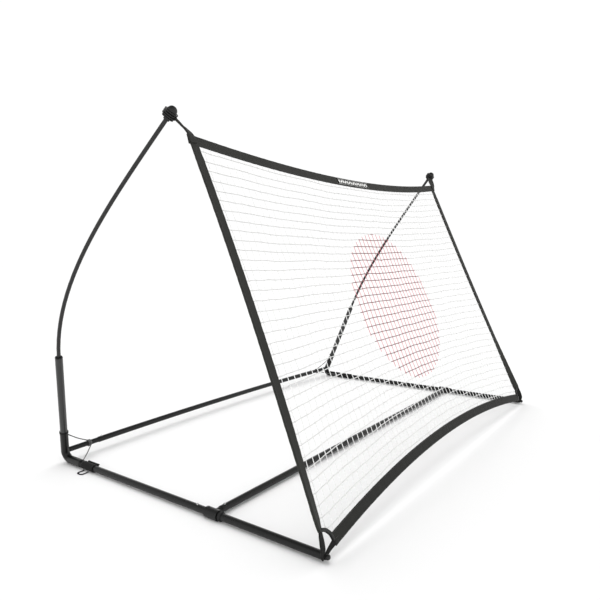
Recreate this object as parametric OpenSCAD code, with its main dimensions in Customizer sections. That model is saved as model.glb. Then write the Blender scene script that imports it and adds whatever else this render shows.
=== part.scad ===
// Golf chipping net: a rebounding practice net on a plug-together steel base.
// X is the width (right is +X), the player stands on the -Y side, and Z is up.
// The origin is on the ground, in the middle of the object's bounding box.

/* [Base frame] */
// Distance between the two side rails, centre to centre
rail_spacing = 1500; // [1300:10:1700]
// Distance from the upright corner to the front end of a side rail
rail_reach = 1002; // [900:1:1100]
// Distance from the upright corner to the middle cross bar
tee_reach = 670; // [560:1:700]
// Outer diameter of the rails and cross bars
tube_d = 19; // [18:0.5:20]
// Wall thickness of every steel tube
tube_wall = 1.2; // [1:0.1:1.4]
// How far the middle of the rear bar stands behind its ends
rear_bow = 25; // [15:1:40]
// Height of the rear bar's centre line
rear_bar_z = 38; // [36:1:42]
// Outer diameter of the tee collars
collar_d = 28; // [27:0.5:30]

/* [Uprights and rods] */
// Distance from the base corner to the top of an upright
upright_length = 379; // [340:1:400]
// Outer diameter of an upright
upright_d = 22; // [21.5:0.5:22.5]
// How far an upright leans forward, in degrees
lean_forward = 18.4; // [14:0.1:20]
// How far an upright leans outward, in degrees
lean_outward = 11.9; // [10:0.1:13]
// Diameter of a flexible rod
rod_d = 11; // [9:0.1:12]
// Length of a rod above its upright
rod_length = 805; // [780:1:840]
// How far a rod bends between its foot and its tip, in degrees
rod_bend = 31.8; // [30:0.1:36]
// Direction in which a rod bends, turned inward from straight ahead, in degrees
rod_swing = 36.9; // [33:0.1:40]
// How strongly the bend is gathered at the rod's foot; 2 is an even rod with a load at its tip
rod_gather = 2.5; // [2:0.1:3]

/* [Net] */
// Slope of the net from the ground, in degrees
net_slope = 66.3; // [64:0.1:68]
// Length of the net along its slope, corner to corner
net_length = 984; // [960:1:990]
// Half of the net's width at its top corners
net_top_half = 727; // [720:1:735]
// Half of the net's width at its lower corners
net_foot_half = 750; // [740:1:760]
// Width of the webbing round the net
hem_w = 25; // [20:1:30]
// How far the top hem sags in the middle
top_sag = 49; // [40:1:60]
// How far the bottom hem rises in the middle
foot_rise = 60; // [50:1:70]
// How far each side hem curves inward
side_sag = 14; // [8:1:16]

/* [Hidden] */

$fn = 48;
half_w = rail_spacing / 2;
eps = 0.5;                   // overlap of two shapes that are joined into one piece
cut = 1;                     // how far a cutting shape runs past what it cuts

// Tubes. Spigots slide into the tubes with a small gap all round.
fit_gap = 0.1;
tube_z = 12.5;               // centre line of the rails and of the middle bar
tube_id = tube_d - 2 * tube_wall;
spigot_d = tube_id - 2 * fit_gap;
spigot_id = spigot_d - 2 * tube_wall;

// Corner elbows
elbow_wall = 1.4;
elbow_id = upright_d + 2 * fit_gap;
elbow_d = elbow_id + 2 * elbow_wall;
elbow_bend_r = 22;
elbow_turn = 90 + lean_forward;
elbow_tangent = elbow_bend_r * tan(elbow_turn / 2);
elbow_up = 105;              // length of the leg that takes the upright
elbow_forward = 99;          // length of the leg that takes the rail
elbow_taper = 8;             // length of the reduction from the leg to its spigot
elbow_bead_d = elbow_d + 2.4;
elbow_bead_h = 4;
elbow_spigot = 45;
upright_depth = 60;          // how far the upright stands in the elbow

// Rear bar: it lies on one wide arc. The stubs of the elbows lie on the same arc.
bar_foot = (rear_bar_z - tube_z) / (cos(lean_forward) * cos(lean_outward));
bar_end_x = half_w + bar_foot * cos(lean_forward) * sin(lean_outward);
bar_end_y = -bar_foot * sin(lean_forward);
bar_arc_r = (bar_end_x * bar_end_x + rear_bow * rear_bow) / (2 * rear_bow);
bar_arc_y = bar_end_y + rear_bow - bar_arc_r;
bar_fn = 5760;               // the bar's arc is more than 20 metres across
stub_reach = 121;            // from the rail's line to the end of the rear bar
rear_button_reach = 133;
stub_overlap = 45;
bar_joint_x = 295;           // where the outer and middle parts of a cross bar meet
bar_joint_depth = 50;

// Tees
collar_length = 43;
collar_y = -tee_reach;
tee_spigot = 50;
tee_stub = 27;               // from the rail's line to the end of the middle bar
tee_stub_depth = 45;
rail_button_reach = tee_reach - 55;
mid_button_reach = 41;
screw_d = 7;
screw_h = 2.2;
ring_d = 24;
ring_w = 10;

// Rail plug: a stem in the tube, a flange, a neck for the loop and a round knob
plug_stem = 25;
plug_flange_d = 19.6;
plug_flange = 2.4;
plug_neck_d = 7;
plug_neck = 7.6;
plug_knob_d = 13;

// Snap buttons
button_d = 6;
button_hole_d = button_d + 2 * fit_gap;
button_proud = 3.6;
leaf_t = 0.6;
leaf_w = 7;
leaf_length = 34;
leaf_top = 5;                // height of the upper leaf's top face over the tube's centre line
leaf_bottom = -5.4;          // height of the lower leaf's underside

// Rods
rod_rings = 26;
rod_sides = 20;
rod_seat = 40;               // length of rod below the top of the upright
bush_rim_d = 20.6;
bush_rim = 2;
bush_gap = 0.12;             // gap round the rod at the narrowest place of the bush
bush_flare = 1.9;            // extra radius at the two ends of the bush
cap_depth = 16;              // how far the rod goes into its ball cap
cap_fin_d = 37;
cap_fin_t = 2.6;
cap_fin_pitch = 5.4;
cap_fins = 4;
cap_core_d = 22;
cap_dome_d = 26;
cap_collar_d = 16.5;
cap_collar = 6;
cap_length = cap_fins * cap_fin_pitch;
strap_groove = 2;            // the groove of the cap that holds the strap, counted from the foot

// Net
net_t = 1.2;
arc_steps = 24;              // straight pieces in each long arc of the net
hem_t = 3;
sew_gap = 0.3;
net_foot_y = -1006;          // the net's lower corners, from the line of the upright corners
net_foot_z = 43;
corner_r = 33;               // radius of the bound cut-out at each lower corner
binding_w = 8;
foot_end_half = net_foot_half - corner_r;
foot_end_v = -9;
side_foot_v = foot_end_v + corner_r;
strap_d = 6;
strap_ring_d = 2.6;
strap_end_gap = 3.5;         // from the middle of the leg's end to the hem
loop_d = 4.6;
label_w = 200;
label_h = 20;
label_t = 0.8;
tether_d = 3;

// The box is centred front to back
front_reach = rail_reach + plug_flange + plug_neck + plug_knob_d - 2;
rear_reach = bar_end_y + rear_bow + tube_d / 2;
y_rear = (front_reach - rear_reach) / 2;

steel = [0.07, 0.07, 0.07];
plastic = [0.1, 0.1, 0.1];
bright = [0.75, 0.75, 0.75];
webbing = [0.2, 0.2, 0.19];
netting = [0.93, 0.93, 0.91];

// ---------- helpers ----------

// Everything is drawn for the right side, from the line of the upright corners
module in_frame(side = 1) {
    translate([0, y_rear, 0])
    if (side < 0) mirror([1, 0, 0]) children();
    else children();
}

module ring2d(d, id) {
    difference() {
        circle(d = d);
        circle(d = id);
    }
}

module tube(d, id, h) {
    linear_extrude(h) ring2d(d, id);
}

// Puts +Z along -Y, at a distance along the rail
module along_rail(reach) {
    translate([half_w, -reach, tube_z]) rotate([90, 0, 0]) children();
}

// Puts +Z along the upright, from the base corner
module upright_frame() {
    translate([half_w, 0, tube_z]) rotate([lean_forward, lean_outward, 0]) children();
}

module cord_between(p, q, d) {
    v = q - p;
    translate(p) rotate([0, acos(v.z / norm(v)), atan2(v.y, v.x)]) cylinder(d = d, h = norm(v));
}

function turn_x(p, a) = [p.x, p.y * cos(a) - p.z * sin(a), p.y * sin(a) + p.z * cos(a)];
function turn_y(p, a) = [p.x * cos(a) + p.z * sin(a), p.y, p.z * cos(a) - p.x * sin(a)];
function turn_z(p, a) = [p.x * cos(a) - p.y * sin(a), p.x * sin(a) + p.y * cos(a), p.z];
function from_upright(p) = turn_y(turn_x(p, lean_forward), lean_outward) + [half_w, 0, tube_z];

// A point of the net's plane: x across, v up the slope, w out of its front face
function net_point(x, v, w = 0) = [
    x,
    net_foot_y + v * cos(net_slope) - w * sin(net_slope),
    net_foot_z + v * sin(net_slope) + w * cos(net_slope)
];

module net_plane() {
    translate([0, net_foot_y, net_foot_z]) rotate([net_slope, 0, 0]) children();
}

// ---------- elbows and uprights ----------

// Puts +Z along the rear bar's line, outward, with its origin on the line at a given x
module on_rear_line(x) {
    translate([x, bar_arc_y + sqrt(bar_arc_r * bar_arc_r - x * x), rear_bar_z])
        rotate([0, 90, -asin(x / bar_arc_r)]) children();
}

// An elbow's stub is straight. It lies on the bar's line in the middle of the stretch they share.
module along_stub(from_end) {
    on_rear_line(half_w - stub_reach - stub_overlap / 2)
        translate([0, 0, stub_overlap / 2 + from_end]) children();
}

// Either the outside or the inside of an elbow
module elbow_form(d, mouth, stub) {
    translate([half_w, 0, tube_z]) rotate([0, lean_outward, 0]) {
        translate([0, -elbow_tangent, elbow_bend_r]) rotate([0, 90, 0])
            rotate_extrude(angle = elbow_turn) translate([elbow_bend_r, 0]) circle(d = d);
        translate([0, -elbow_tangent, 0]) rotate([90, 0, 0])
            cylinder(d = d, h = elbow_forward - elbow_tangent - elbow_taper + eps);
    }
    along_rail(elbow_forward - elbow_taper) cylinder(d1 = d, d2 = mouth, h = elbow_taper);
    upright_frame() translate([0, 0, elbow_tangent]) cylinder(d = d, h = elbow_up - elbow_tangent);
    along_stub(-stub_overlap) cylinder(d = stub, h = stub_overlap + stub_reach - 3);
}

module elbow(side) {
    color(steel) in_frame(side) difference() {
        union() {
            elbow_form(elbow_d, tube_d, spigot_d);
            along_rail(elbow_forward - eps) cylinder(d = spigot_d, h = elbow_spigot);
            upright_frame() translate([0, 0, elbow_up - elbow_bead_h])
                cylinder(d = elbow_bead_d, h = elbow_bead_h);
        }
        elbow_form(elbow_id, spigot_id, spigot_id);
        along_rail(elbow_forward - eps) cylinder(d = spigot_id, h = elbow_spigot + cut);
        upright_frame() translate([0, 0, elbow_up - cut]) cylinder(d = elbow_id, h = 2 * cut);
        along_stub(-stub_overlap - cut) cylinder(d = spigot_id, h = 2 * cut);
        rear_button_place() button_hole();
    }
}

module upright(side) {
    color(steel) in_frame(side) upright_frame() translate([0, 0, elbow_up - upright_depth])
        tube(upright_d, upright_d - 2 * tube_wall, upright_length - elbow_up + upright_depth);
}

// ---------- rods ----------

// A tip-loaded rod bends most at its foot
function heading(i) = rod_bend * (1 - pow(1 - i / rod_rings, rod_gather));
function rod_point(i) = i == 0 ? [0, 0, upright_length] :
    rod_point(i - 1) + turn_x([0, 0, rod_length / rod_rings], heading(i - 0.5));
rod_end = rod_point(rod_rings);

module rod_frame() {
    upright_frame() rotate([0, 0, -rod_swing]) children();
}

// Puts +Z along the rod's tip, with its origin at the very end
module tip_frame() {
    rod_frame() translate(rod_end) rotate([rod_bend, 0, 0]) children();
}

function from_tip(p) = from_upright(turn_z(rod_end + turn_x(p, rod_bend), -rod_swing));

// The rod is a ring of points swept along its bent line, with a straight foot in the bush
module rod(side) {
    foot = [0, 0, upright_length - rod_seat];
    rings = concat([[foot, 0]], [for (i = [0 : rod_rings]) [rod_point(i), heading(i)]]);
    points = [
        for (ring = rings, k = [0 : rod_sides - 1])
            let (a = 360 * k / rod_sides)
            ring[0] + turn_x([rod_d / 2 * cos(a), rod_d / 2 * sin(a), 0], ring[1])
    ];
    last = rod_sides * (len(rings) - 1);
    walls = [
        for (j = [0 : len(rings) - 2], k = [0 : rod_sides - 1])
            let (a = j * rod_sides + k, b = j * rod_sides + (k + 1) % rod_sides)
            [b, a, a + rod_sides, b + rod_sides]
    ];
    ends = [
        [for (k = [0 : rod_sides - 1]) k],
        [for (k = [0 : rod_sides - 1]) last + rod_sides - 1 - k],
    ];
    color(plastic) in_frame(side) rod_frame()
        polyhedron(points, concat(walls, ends), convexity = 4);
}

// The bush is narrow in the middle, so that the rod can lean in it as it flexes
module rod_bush(side) {
    bush_d = upright_d - 2 * tube_wall - 2 * fit_gap;
    bore_r = rod_d / 2 + bush_gap;
    color(plastic) in_frame(side) upright_frame() translate([0, 0, upright_length - rod_seat])
        rotate_extrude() polygon([
            [bore_r + bush_flare, 0],
            [bush_d / 2, 0],
            [bush_d / 2, rod_seat],
            [bush_rim_d / 2, rod_seat],
            [bush_rim_d / 2, rod_seat + bush_rim],
            [bore_r + bush_flare, rod_seat + bush_rim],
            [bore_r, rod_seat / 2],
        ]);
}

module ball_cap(side) {
    color(plastic) in_frame(side) tip_frame() translate([0, 0, -cap_depth]) difference() {
        union() {
            translate([0, 0, -cap_collar]) cylinder(d = cap_collar_d, h = cap_collar + eps);
            cylinder(d = cap_core_d, h = cap_length);
            for (i = [0 : cap_fins - 1])
                translate([0, 0, i * cap_fin_pitch])
                    cylinder(d = cap_fin_d - (i == 0 ? 6 : 0), h = cap_fin_t);
            translate([0, 0, cap_length - 2]) sphere(d = cap_dome_d);
        }
        translate([0, 0, -cap_collar - cut]) cylinder(d = rod_d + fit_gap, h = cap_depth + cap_collar + cut);
    }
}

// ---------- rails and tees ----------

module rear_rail(side) {
    color(steel) in_frame(side) difference() {
        along_rail(elbow_forward) tube(tube_d, tube_id, tee_reach - collar_length / 2 - elbow_forward);
        rail_button_place() button_hole();
    }
}

module front_rail(side) {
    start = tee_reach + collar_length / 2;
    color(steel) in_frame(side) along_rail(start) tube(tube_d, tube_id, rail_reach - start);
}

module tee(side) {
    start = tee_reach - collar_length / 2;
    stub = tee_stub + tee_stub_depth;
    color(steel) in_frame(side) difference() {
        union() {
            along_rail(start) cylinder(d = collar_d, h = collar_length);
            along_rail(start - tee_spigot) cylinder(d = spigot_d, h = collar_length + 2 * tee_spigot);
            translate([half_w, collar_y, tube_z]) rotate([0, -90, 0]) cylinder(d = spigot_d, h = stub);
        }
        along_rail(start - tee_spigot - cut)
            cylinder(d = spigot_id, h = collar_length + 2 * tee_spigot + 2 * cut);
        translate([half_w, collar_y, tube_z]) rotate([0, -90, 0])
            cylinder(d = spigot_id, h = stub + cut);
        translate([half_w - collar_d, collar_y - collar_length, -collar_d])
            cube([2 * collar_d, 2 * collar_length, collar_d]);
        rail_button_place() button_hole();
        mid_button_place() button_hole();
    }
}

// A pan-head screw on top of the collar, near its rear end
module tee_screw(side) {
    color(plastic) in_frame(side)
        translate([half_w, collar_y + collar_length / 2 - screw_d, tube_z + collar_d / 2 - 0.6])
            intersection() {
                cylinder(d = screw_d, h = screw_h + 0.6);
                translate([0, 0, -screw_d / 2]) sphere(d = 2 * screw_d - 2);
            }
}

module tee_ring(side) {
    color(plastic) in_frame(side) along_rail(tee_reach + collar_length / 2 + 1.5)
        rotate_extrude() polygon([
            [tube_d / 2 + 0.05, 0],
            [ring_d / 2 - 1, 0],
            [ring_d / 2, 1.5],
            [ring_d / 2, ring_w - 1.5],
            [ring_d / 2 - 1, ring_w],
            [tube_d / 2 + 0.05, ring_w],
        ]);
}

module rail_plug(side) {
    neck = rail_reach + plug_flange;
    color(plastic) in_frame(side) {
        along_rail(rail_reach - plug_stem) cylinder(d = spigot_d, h = plug_stem + eps);
        along_rail(rail_reach) cylinder(d = plug_flange_d, h = plug_flange);
        along_rail(neck - eps) cylinder(d = plug_neck_d, h = plug_neck + 4);
        along_rail(neck + plug_neck + plug_knob_d / 2 - 2) sphere(d = plug_knob_d);
    }
}

// ---------- cross bars ----------

// Extrudes a section along the rear bar's arc, from one x to another
module on_rear_arc(from_x, to_x) {
    start = asin(from_x / bar_arc_r);
    stop = asin(to_x / bar_arc_r);
    translate([0, bar_arc_y, rear_bar_z]) rotate([0, 0, 90 - stop])
        rotate_extrude(angle = stop - start, $fn = bar_fn) translate([bar_arc_r, 0]) children();
}

rear_bar_end = half_w - stub_reach;

module rear_bar_outer(side) {
    color(steel) in_frame(side) difference() {
        on_rear_arc(bar_joint_x, rear_bar_end) ring2d(tube_d, tube_id);
        rear_button_place() button_hole();
    }
}

// The middle part of a bar has a sleeve fixed in each end, on which the outer parts slide
module rear_bar_middle() {
    color(steel) {
        in_frame() on_rear_arc(-bar_joint_x, bar_joint_x) ring2d(tube_d, tube_id);
        for (side = [-1, 1]) in_frame(side) on_rear_line(bar_joint_x + bar_joint_depth / 2) {
            translate([0, 0, -bar_joint_depth]) tube(tube_id + eps, spigot_id, bar_joint_depth / 2 - eps);
            translate([0, 0, -bar_joint_depth / 2 - 2 * eps])
                tube(spigot_d, spigot_id, bar_joint_depth + 2 * eps);
        }
    }
}

// Puts +Z along the middle cross bar, from a given x
module along_mid_bar(from_x) {
    translate([from_x, collar_y, tube_z]) rotate([0, 90, 0]) children();
}

module mid_bar_outer(side) {
    color(steel) in_frame(side) difference() {
        along_mid_bar(bar_joint_x) tube(tube_d, tube_id, half_w - tee_stub - bar_joint_x);
        mid_button_place() button_hole();
    }
}

module mid_bar_middle() {
    color(steel) {
        in_frame() along_mid_bar(-bar_joint_x) tube(tube_d, tube_id, 2 * bar_joint_x);
        for (side = [-1, 1]) in_frame(side) {
            along_mid_bar(bar_joint_x - bar_joint_depth)
                tube(tube_id + eps, spigot_id, bar_joint_depth - eps);
            along_mid_bar(bar_joint_x - 2 * eps)
                tube(spigot_d, spigot_id, bar_joint_depth + 2 * eps);
        }
    }
}

// ---------- snap buttons ----------

module rail_button_place() {
    translate([half_w, -rail_button_reach, tube_z]) rotate([0, 0, -90]) children();
}

module mid_button_place() {
    translate([half_w - mid_button_reach, collar_y, tube_z]) rotate([0, 0, 180]) children();
}

module rear_button_place() {
    x = half_w - rear_button_reach;
    translate([x, bar_arc_y + sqrt(bar_arc_r * bar_arc_r - x * x), rear_bar_z])
        rotate([0, 0, 180 - asin(x / bar_arc_r)]) children();
}

module button_hole() {
    cylinder(d = button_hole_d, h = tube_d);
}

module button() {
    top = tube_d / 2 + button_proud;
    color(bright) intersection() {
        translate([0, 0, leaf_top + 0.05]) cylinder(d = button_d, h = top - leaf_top - 0.05);
        translate([0, 0, top - 0.7 * button_d]) sphere(d = 1.4 * button_d);
    }
}

// A leaf bent into a U: its lower leg lies in the tube, and its upper leg carries the button
module button_spring() {
    fold_d = leaf_top - leaf_bottom;
    color(bright) rotate([90, 0, 0]) linear_extrude(leaf_w, center = true) {
        for (z = [leaf_bottom, leaf_top - leaf_t])
            translate([-button_d, z]) square([leaf_length - fold_d / 2, leaf_t]);
        translate([leaf_length - fold_d / 2 - button_d, leaf_bottom + fold_d / 2])
            intersection() {
                ring2d(fold_d, fold_d - 2 * leaf_t);
                translate([0, -fold_d]) square([fold_d, 2 * fold_d]);
            }
    }
}

// ---------- tethers and peg straps ----------

// An elastic cord that keeps the corner's tubes together. It is knotted round the rear stub.
module tether(side) {
    knot_x = half_w - 83;
    knot_y = bar_arc_y + sqrt(bar_arc_r * bar_arc_r - knot_x * knot_x);
    wrap_r = spigot_d / 2 + tether_d / 2;
    color(plastic) in_frame(side) {
        cord_between(
            from_upright([-elbow_d / 2 + 1, 0, 88]),
            [knot_x, knot_y, rear_bar_z + wrap_r],
            tether_d
        );
        cord_between(
            [knot_x, knot_y - wrap_r, rear_bar_z],
            [half_w - elbow_d / 2 + 1, -80, tube_z + 3],
            tether_d
        );
        translate([knot_x, knot_y, rear_bar_z]) rotate([0, 90, 0])
            rotate_extrude() translate([wrap_r + 0.1, 0]) circle(d = tether_d, $fn = 16);
    }
}

// A strap wrapped round the rail, with a loop on the ground outside it for a peg
module peg_strap(side) {
    wrap_start = elbow_forward + 5;
    wrap_w = 60;
    wrap_t = 2.2;
    tail = 36;
    tail_w = 30;
    tail_z = 0.3;
    slot = [16, 18];
    color(webbing) in_frame(side) {
        along_rail(wrap_start) tube(tube_d + 2 * wrap_t, tube_d + fit_gap, wrap_w);
        translate([half_w, -wrap_start - wrap_w / 2 - tail_w / 2, tail_z]) difference() {
            translate([3, 0, 0]) cube([tail, tail_w, wrap_t]);
            translate([tail - slot.x - 1, (tail_w - slot.y) / 2, -cut])
                cube([slot.x, slot.y, wrap_t + 2 * cut]);
        }
    }
}

// ---------- net and webbing ----------

// Radius of an arc from its half chord and its rise
function arc_radius(half, rise) = (half * half + rise * rise) / (2 * rise);

top_r = arc_radius(net_top_half, top_sag);
top_centre = net_length - top_sag + top_r;
foot_r = arc_radius(foot_end_half, foot_rise);
foot_centre = foot_end_v + foot_rise - foot_r;

// The side hem's arc goes through its two ends and bends inward by side_sag
side_low = [net_foot_half, side_foot_v];
side_high = [net_top_half, net_length];
side_half = norm(side_high - side_low) / 2;
side_r = arc_radius(side_half, side_sag);
side_out = [side_high.y - side_low.y, side_low.x - side_high.x] / (2 * side_half);
side_centre = (side_low + side_high) / 2 + side_out * (side_r - side_sag);

// The arcs, as curves of the net's plane. A positive inset moves them into the net.
function top_v(x, inset = 0) = top_centre - sqrt(pow(top_r + inset, 2) - x * x);
function foot_v(x, inset = 0) = foot_centre + sqrt(pow(foot_r + inset, 2) - x * x);
function side_x(v, inset = 0) =
    side_centre.x - sqrt(pow(side_r + inset, 2) - pow(v - side_centre.y, 2));
function steps(from, to) = [for (i = [0 : arc_steps]) from + (to - from) * i / arc_steps];
function inner_steps(from, to) = [for (i = [1 : arc_steps - 1]) from + (to - from) * i / arc_steps];
function backwards(list) = [for (i = [len(list) - 1 : -1 : 0]) list[i]];

module plate(z, t) {
    translate([0, 0, z]) linear_extrude(t) children();
}

module corner_disc(inset) {
    translate([net_foot_half, foot_end_v]) circle(r = corner_r + inset);
}

module net() {
    inset = hem_w / 2 + sew_gap;
    top_x = net_top_half - inset;
    side = [for (v = steps(side_foot_v, top_v(top_x, inset))) [side_x(v, inset), v]];
    color(netting) in_frame() net_plane() plate(-net_t / 2, net_t) difference() {
        polygon(concat(
            [for (x = steps(-foot_end_half, foot_end_half)) [x, foot_v(x, inset)]],
            side,
            [for (x = inner_steps(top_x, -top_x)) [x, top_v(x, inset)]],
            backwards([for (p = side) [-p.x, p.y]])
        ));
        corner_disc(binding_w / 2 + sew_gap);
        mirror([1, 0]) corner_disc(binding_w / 2 + sew_gap);
    }
}

// A strip between two offsets of the top hem's arc
module top_strip(reach, w) {
    polygon(concat(
        [for (x = steps(-reach, reach)) [x, top_v(x, -w / 2)]],
        [for (x = steps(reach, -reach)) [x, top_v(x, w / 2)]]
    ));
}

module top_hem() {
    color(webbing) in_frame() net_plane() plate(-hem_t / 2, hem_t)
        top_strip(net_top_half + hem_w / 2, hem_w);
}

module label_patch() {
    color(netting) in_frame() net_plane() plate(hem_t / 2, label_t) top_strip(label_w / 2, label_h);
}

module bottom_hem() {
    color(webbing) in_frame() net_plane() plate(-hem_t / 2, hem_t) polygon(concat(
        [for (x = steps(-foot_end_half, foot_end_half)) [x, foot_v(x, -hem_w / 2)]],
        [for (x = steps(foot_end_half, -foot_end_half)) [x, foot_v(x, hem_w / 2)]]
    ));
}

module side_hem(side) {
    inner_top = top_v(net_top_half - hem_w / 2, hem_w / 2 + sew_gap);
    outer_top = top_v(net_top_half + hem_w / 2, hem_w / 2 + sew_gap);
    color(webbing) in_frame(side) net_plane() plate(-hem_t / 2, hem_t) polygon(concat(
        [for (v = steps(side_foot_v, outer_top)) [side_x(v, -hem_w / 2), v]],
        [for (v = steps(inner_top, side_foot_v)) [side_x(v, hem_w / 2), v]]
    ));
}

module corner_binding(side) {
    start = foot_end_half - binding_w / 2;
    color(webbing) in_frame(side) net_plane() plate(-hem_t / 2, hem_t) difference() {
        intersection() {
            corner_disc(binding_w / 2);
            translate([start, foot_end_v + hem_w / 2 + sew_gap])
                square([net_foot_half - start, side_foot_v - foot_end_v - hem_w / 2 - 2 * sew_gap]);
        }
        corner_disc(-binding_w / 2);
    }
}

// A loop round the ball cap's groove, with a leg down to the net's corner
module top_strap(side) {
    groove_z = -cap_depth + (strap_groove - 0.5) * cap_fin_pitch + cap_fin_t / 2;
    loop_r = cap_core_d / 2 + strap_ring_d / 2 + 0.1;
    corner = net_point(net_top_half, top_v(net_top_half, -hem_w / 2) + strap_end_gap);
    start = from_tip([0, -loop_r, groove_z]);
    color(webbing) in_frame(side) {
        tip_frame() translate([0, 0, groove_z])
            rotate_extrude() translate([loop_r, 0]) circle(d = strap_ring_d);
        cord_between(start, corner, strap_d);
    }
}

// A loop round the plug's neck, with one leg to the side hem and one to the bottom hem
module lower_loop(side) {
    neck_y = -rail_reach - plug_flange - 0.65 * plug_neck;
    loop_r = plug_neck_d / 2 + loop_d / 2 + 0.2;
    leg_d = loop_d - 0.8;
    color(webbing) in_frame(side) {
        translate([half_w, neck_y, tube_z]) rotate([90, 0, 0])
            rotate_extrude() translate([loop_r, 0]) circle(d = loop_d);
        cord_between(
            [half_w + loop_r, neck_y, tube_z],
            net_point(net_foot_half - 2, side_foot_v + 6),
            leg_d
        );
        cord_between(
            [half_w - loop_r, neck_y, tube_z],
            net_point(foot_end_half - 6, foot_end_v + 1),
            leg_d
        );
    }
}

// ---------- the nodes ----------

elbow(-1);  // left_elbow
elbow(1);  // right_elbow
upright(-1);  // left_upright
upright(1);  // right_upright
rod_bush(-1);  // left_rod_bush
rod_bush(1);  // right_rod_bush
rod(-1);  // left_rod
rod(1);  // right_rod
ball_cap(-1);  // left_ball_cap
ball_cap(1);  // right_ball_cap
rear_rail(-1);  // left_rear_rail
rear_rail(1);  // right_rear_rail
tee(-1);  // left_tee
tee(1);  // right_tee
tee_screw(-1);  // left_tee_screw
tee_screw(1);  // right_tee_screw
tee_ring(-1);  // left_tee_ring
tee_ring(1);  // right_tee_ring
front_rail(-1);  // left_front_rail
front_rail(1);  // right_front_rail
rail_plug(-1);  // left_rail_plug
rail_plug(1);  // right_rail_plug
rear_bar_outer(-1);  // rear_bar_left
rear_bar_middle();
rear_bar_outer(1);  // rear_bar_right
mid_bar_outer(-1);  // mid_bar_left
mid_bar_middle();
mid_bar_outer(1);  // mid_bar_right
in_frame(-1) rail_button_place() button();  // left_rail_button
in_frame(1) rail_button_place() button();  // right_rail_button
in_frame(-1) mid_button_place() button();  // left_mid_button
in_frame(1) mid_button_place() button();  // right_mid_button
in_frame(-1) rear_button_place() button();  // left_rear_button
in_frame(1) rear_button_place() button();  // right_rear_button
in_frame(-1) rail_button_place() button_spring();  // left_rail_spring
in_frame(1) rail_button_place() button_spring();  // right_rail_spring
in_frame(-1) mid_button_place() button_spring();  // left_mid_spring
in_frame(1) mid_button_place() button_spring();  // right_mid_spring
in_frame(-1) rear_button_place() button_spring();  // left_rear_spring
in_frame(1) rear_button_place() button_spring();  // right_rear_spring
tether(-1);  // left_tether
tether(1);  // right_tether
peg_strap(-1);  // left_peg_strap
peg_strap(1);  // right_peg_strap
net();
top_hem();
bottom_hem();
side_hem(-1);  // left_hem
side_hem(1);  // right_hem
corner_binding(-1);  // left_corner_binding
corner_binding(1);  // right_corner_binding
top_strap(-1);  // left_top_strap
top_strap(1);  // right_top_strap
lower_loop(-1);  // left_lower_loop
lower_loop(1);  // right_lower_loop
label_patch();
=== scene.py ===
import math
import random

import bpy
import bmesh
from mathutils import Matrix, Vector


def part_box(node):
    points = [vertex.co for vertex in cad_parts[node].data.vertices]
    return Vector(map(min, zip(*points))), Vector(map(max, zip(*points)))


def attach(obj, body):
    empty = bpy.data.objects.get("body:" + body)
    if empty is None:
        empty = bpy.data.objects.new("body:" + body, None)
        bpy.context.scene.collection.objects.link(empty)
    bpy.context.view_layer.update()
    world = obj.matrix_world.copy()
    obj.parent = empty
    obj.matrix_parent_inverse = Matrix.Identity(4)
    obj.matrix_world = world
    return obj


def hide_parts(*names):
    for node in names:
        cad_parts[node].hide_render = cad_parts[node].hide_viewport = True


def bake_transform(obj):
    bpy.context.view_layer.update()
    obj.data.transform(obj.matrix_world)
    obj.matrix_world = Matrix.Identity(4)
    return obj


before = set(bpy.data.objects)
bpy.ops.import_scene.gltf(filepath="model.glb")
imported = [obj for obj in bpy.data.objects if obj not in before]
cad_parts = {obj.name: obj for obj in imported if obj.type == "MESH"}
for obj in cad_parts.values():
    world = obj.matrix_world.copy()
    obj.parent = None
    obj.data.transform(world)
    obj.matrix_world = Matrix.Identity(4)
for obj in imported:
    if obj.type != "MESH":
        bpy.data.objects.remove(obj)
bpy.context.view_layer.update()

rng = random.Random(7)


def mid(node):
    low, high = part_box(node)
    return (low + high) / 2


# ---------------------------------------------------------------- the frame's own numbers, in metres

TEE_REACH = 0.670                      # from the upright corners to the middle bar
Y_REAR = mid("left_tee").y + TEE_REACH  # the line of the upright corners
HALF_W = 0.750
TUBE_Z = 0.0125
TUBE_D = 0.019
SPIGOT_D = 0.0164
ELBOW_D = 0.025
UPRIGHT_L = 0.379
LEAN_F, LEAN_O = math.radians(18.4), math.radians(11.9)
ROD_L, ROD_BEND, ROD_SWING = 0.805, math.radians(31.8), math.radians(36.9)
ROD_RINGS, ROD_GATHER = 26, 2.5
REAR_Z, REAR_BOW = 0.038, 0.025

NET_SLOPE = math.radians(66.3)
NET_L = 0.984
NET_TOP, NET_FOOT = 0.727, 0.750
NET_Y, NET_Z = Y_REAR - 1.006, 0.043
HEM_W, HEM_T = 0.025, 0.003
TOP_W, FOOT_W = 0.028, 0.0292
TOP_SAG, FOOT_RISE, SIDE_SAG = 0.049, 0.060, 0.014
CORNER_R = 0.033
FOOT_END = NET_FOOT - CORNER_R
FOOT_END_V = -0.009
SIDE_FOOT_V = FOOT_END_V + CORNER_R
NET_N = Vector((0, -math.sin(NET_SLOPE), math.cos(NET_SLOPE)))
NET_UP = Vector((0, math.cos(NET_SLOPE), math.sin(NET_SLOPE)))
ACROSS = Vector((1, 0, 0))
TARGET_R, TARGET_V = 0.257, 0.4865
FOOT_TURN = {-1: math.radians(22), 1: math.radians(34)}


def net_point(x, v, w=0.0):
    return Vector((x, NET_Y, NET_Z)) + NET_UP * v + NET_N * w


def arc_radius(half, rise):
    return (half * half + rise * rise) / (2 * rise)


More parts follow.
